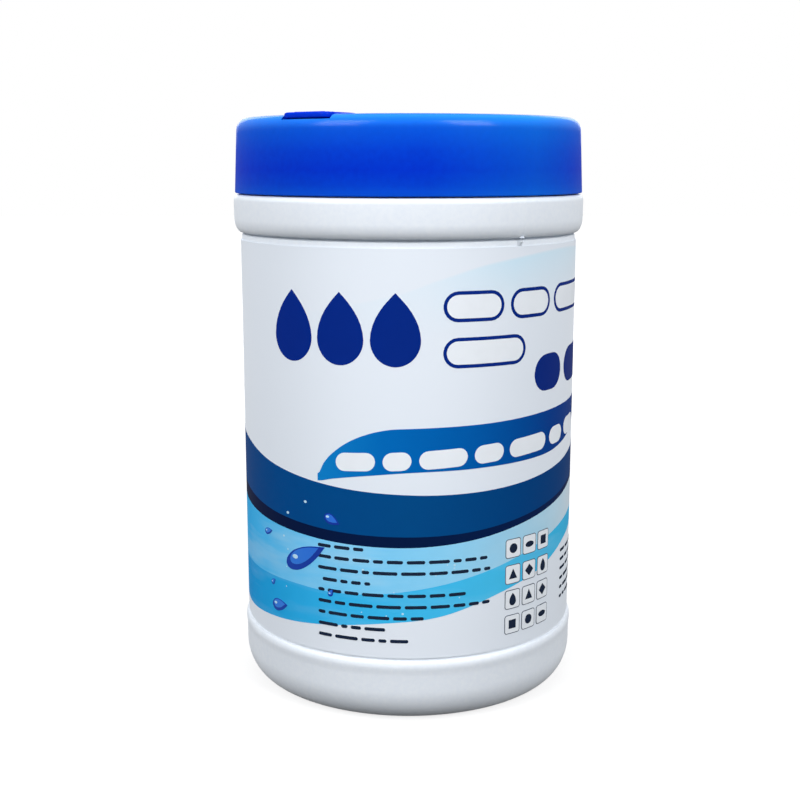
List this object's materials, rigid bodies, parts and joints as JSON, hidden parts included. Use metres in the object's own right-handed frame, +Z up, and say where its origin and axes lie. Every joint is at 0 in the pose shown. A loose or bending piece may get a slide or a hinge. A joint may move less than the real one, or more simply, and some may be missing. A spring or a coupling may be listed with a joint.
{
  "type": "wet wipes canister",
  "caption": "Round plastic canister that holds a roll of wet wipes, with a wrap-around label and a press-fit lid whose flip cover opens over a slit dispensing orifice.",
  "frame": {"origin": "centre of the base, on the ground", "axes": "+Z up along the canister's axis, -Y towards the front of the label, +X to the viewer's right"},
  "size_m": [0.095, 0.095, 0.1548],
  "materials": {
    "white_plastic": "blow-moulded polyethylene, satin",
    "label_film": "printed film, semi-gloss",
    "wipe_fabric": "moist non-woven",
    "sky_ink": "print under gloss varnish",
    "mid_blue_ink": "print under gloss varnish",
    "dark_navy_ink": "print under gloss varnish",
    "navy_ink": "print under gloss varnish",
    "bright_blue_ink": "print under gloss varnish",
    "blue_plastic": "injection-moulded polypropylene, semi-gloss"
  },
  "bodies": {
    "canister": {"canister": "white_plastic", "label": "label_film", "wipes_roll": "wipe_fabric", "ink_sky_field": "sky_ink", "ink_blue_wave": "mid_blue_ink", "ink_dark_border": "dark_navy_ink", "ink_navy_band": "navy_ink", "ink_swoosh": "bright_blue_ink"},
    "lid": {"lid": "blue_plastic"},
    "flip_cover": {"flip_cover": "blue_plastic"}
  },
  "joints": [
    {"name": "lid_lift", "type": "slide", "parent": "canister", "child": "lid", "axis": [0, 0, 1], "range_m": [0, 0.03]},
    {"name": "flip_hinge", "type": "hinge", "parent": "lid", "child": "flip_cover", "pos_m": [0.01286, 0.01907, 0.1522], "axis": [-0.829, 0.5592, 0], "range_deg": [0, 115]}
  ]
}
